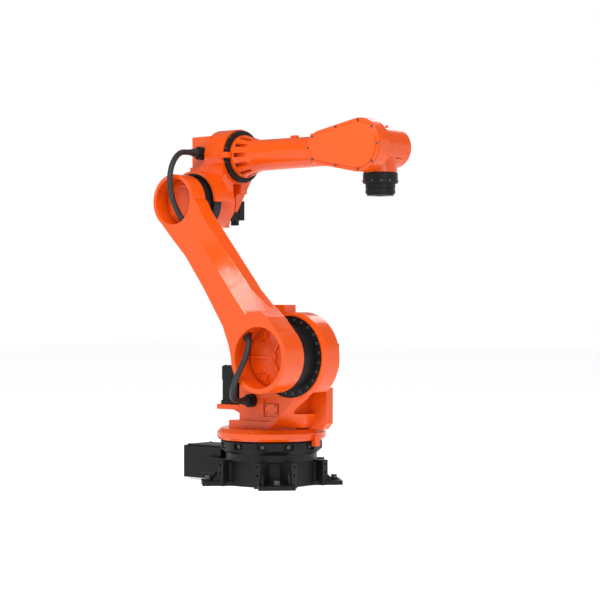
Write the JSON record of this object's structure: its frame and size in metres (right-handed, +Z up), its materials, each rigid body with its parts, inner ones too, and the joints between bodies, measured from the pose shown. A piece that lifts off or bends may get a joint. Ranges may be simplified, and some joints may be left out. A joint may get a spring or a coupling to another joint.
{
  "type": "industrial robot arm",
  "caption": "Articulated industrial robot arm with a bolted base, leaning link arm, level forearm, hollow joints with hoses and a downward tool flange.",
  "frame": {"origin": "on the floor, on axis 1, at the underside of the base casting", "axes": "+Z up along axis 1, +X along the forearm, -Y towards the link arm's side"},
  "size_m": [1.593, 0.8486, 2.099],
  "materials": {
    "orange_paint": "semi-gloss orange enamel on castings",
    "black_paint": "satin black enamel",
    "dark_metal": "dark oiled steel of the reducers",
    "hose_rubber": "matt dark grey hose"
  },
  "bodies": {
    "base": {"base_casting": "black_paint", "base_ring": "black_paint", "connector_box": "black_paint", "connector_cover": "black_paint"},
    "carousel": {"turntable_disc": "orange_paint", "column_casting": "orange_paint", "access_cover": "orange_paint", "stop_tab": "orange_paint", "lifting_lug": "orange_paint", "axis_2_housing_ring": "dark_metal", "motor_shelf": "orange_paint", "axis_1_motor": "black_paint", "axis_2_motor": "black_paint", "lower_cable_gland": "black_paint"},
    "link_arm": {"link_arm_casting": "orange_paint", "lower_hub_plate": "orange_paint", "upper_hub_plate": "orange_paint", "axis_2_reducer": "dark_metal", "axis_3_reducer": "dark_metal", "lower_hose": "hose_rubber"},
    "elbow": {"elbow_casting": "orange_paint", "axis_3_ring": "dark_metal", "axis_4_ring": "black_paint", "axis_4_stop": "orange_paint", "axis_3_motor": "black_paint", "motor_plate": "orange_paint", "axis_4_motor": "black_paint", "axis_5_motor": "black_paint", "axis_6_motor": "black_paint", "upper_cable_gland": "black_paint", "upper_hose": "hose_rubber"},
    "forearm": {"forearm_tube": "orange_paint", "tube_block": "orange_paint", "wrist_housing": "orange_paint", "wrist_cover": "orange_paint"},
    "wrist": {"wrist_body": "orange_paint", "wrist_end_cap": "orange_paint", "wrist_plug": "orange_paint", "axis_6_ring": "black_paint"},
    "tool": {"tool_flange": "black_paint"}
  },
  "joints": [
    {"name": "axis_1", "type": "hinge", "parent": "base", "child": "carousel", "pos_m": [0, 0, 0.268], "axis": [0, 0, 1], "range_deg": [-180, 180]},
    {"name": "axis_2", "type": "hinge", "parent": "carousel", "child": "link_arm", "pos_m": [0.27, -0.273, 0.755], "axis": [0, 1, 0], "range_deg": [-14, 111], "deforming": ["lower_hose"]},
    {"name": "axis_3", "type": "hinge", "parent": "link_arm", "child": "elbow", "pos_m": [-0.38538, -0.268, 1.65705], "axis": [0, -1, 0], "range_deg": [-29, 200], "deforming": ["upper_hose"]},
    {"name": "axis_4", "type": "hinge", "parent": "elbow", "child": "forearm", "pos_m": [-0.21438, 0, 1.93605], "axis": [1, 0, 0], "range_deg": [-180, 180]},
    {"name": "axis_5", "type": "hinge", "parent": "forearm", "child": "wrist", "pos_m": [0.80062, -0.11, 1.93605], "axis": [0, 1, 0], "range_deg": [-215, 35]},
    {"name": "axis_6", "type": "hinge", "parent": "wrist", "child": "tool", "pos_m": [0.80062, 0, 1.73005], "axis": [0, 0, -1], "range_deg": [-360, 360]}
  ]
}
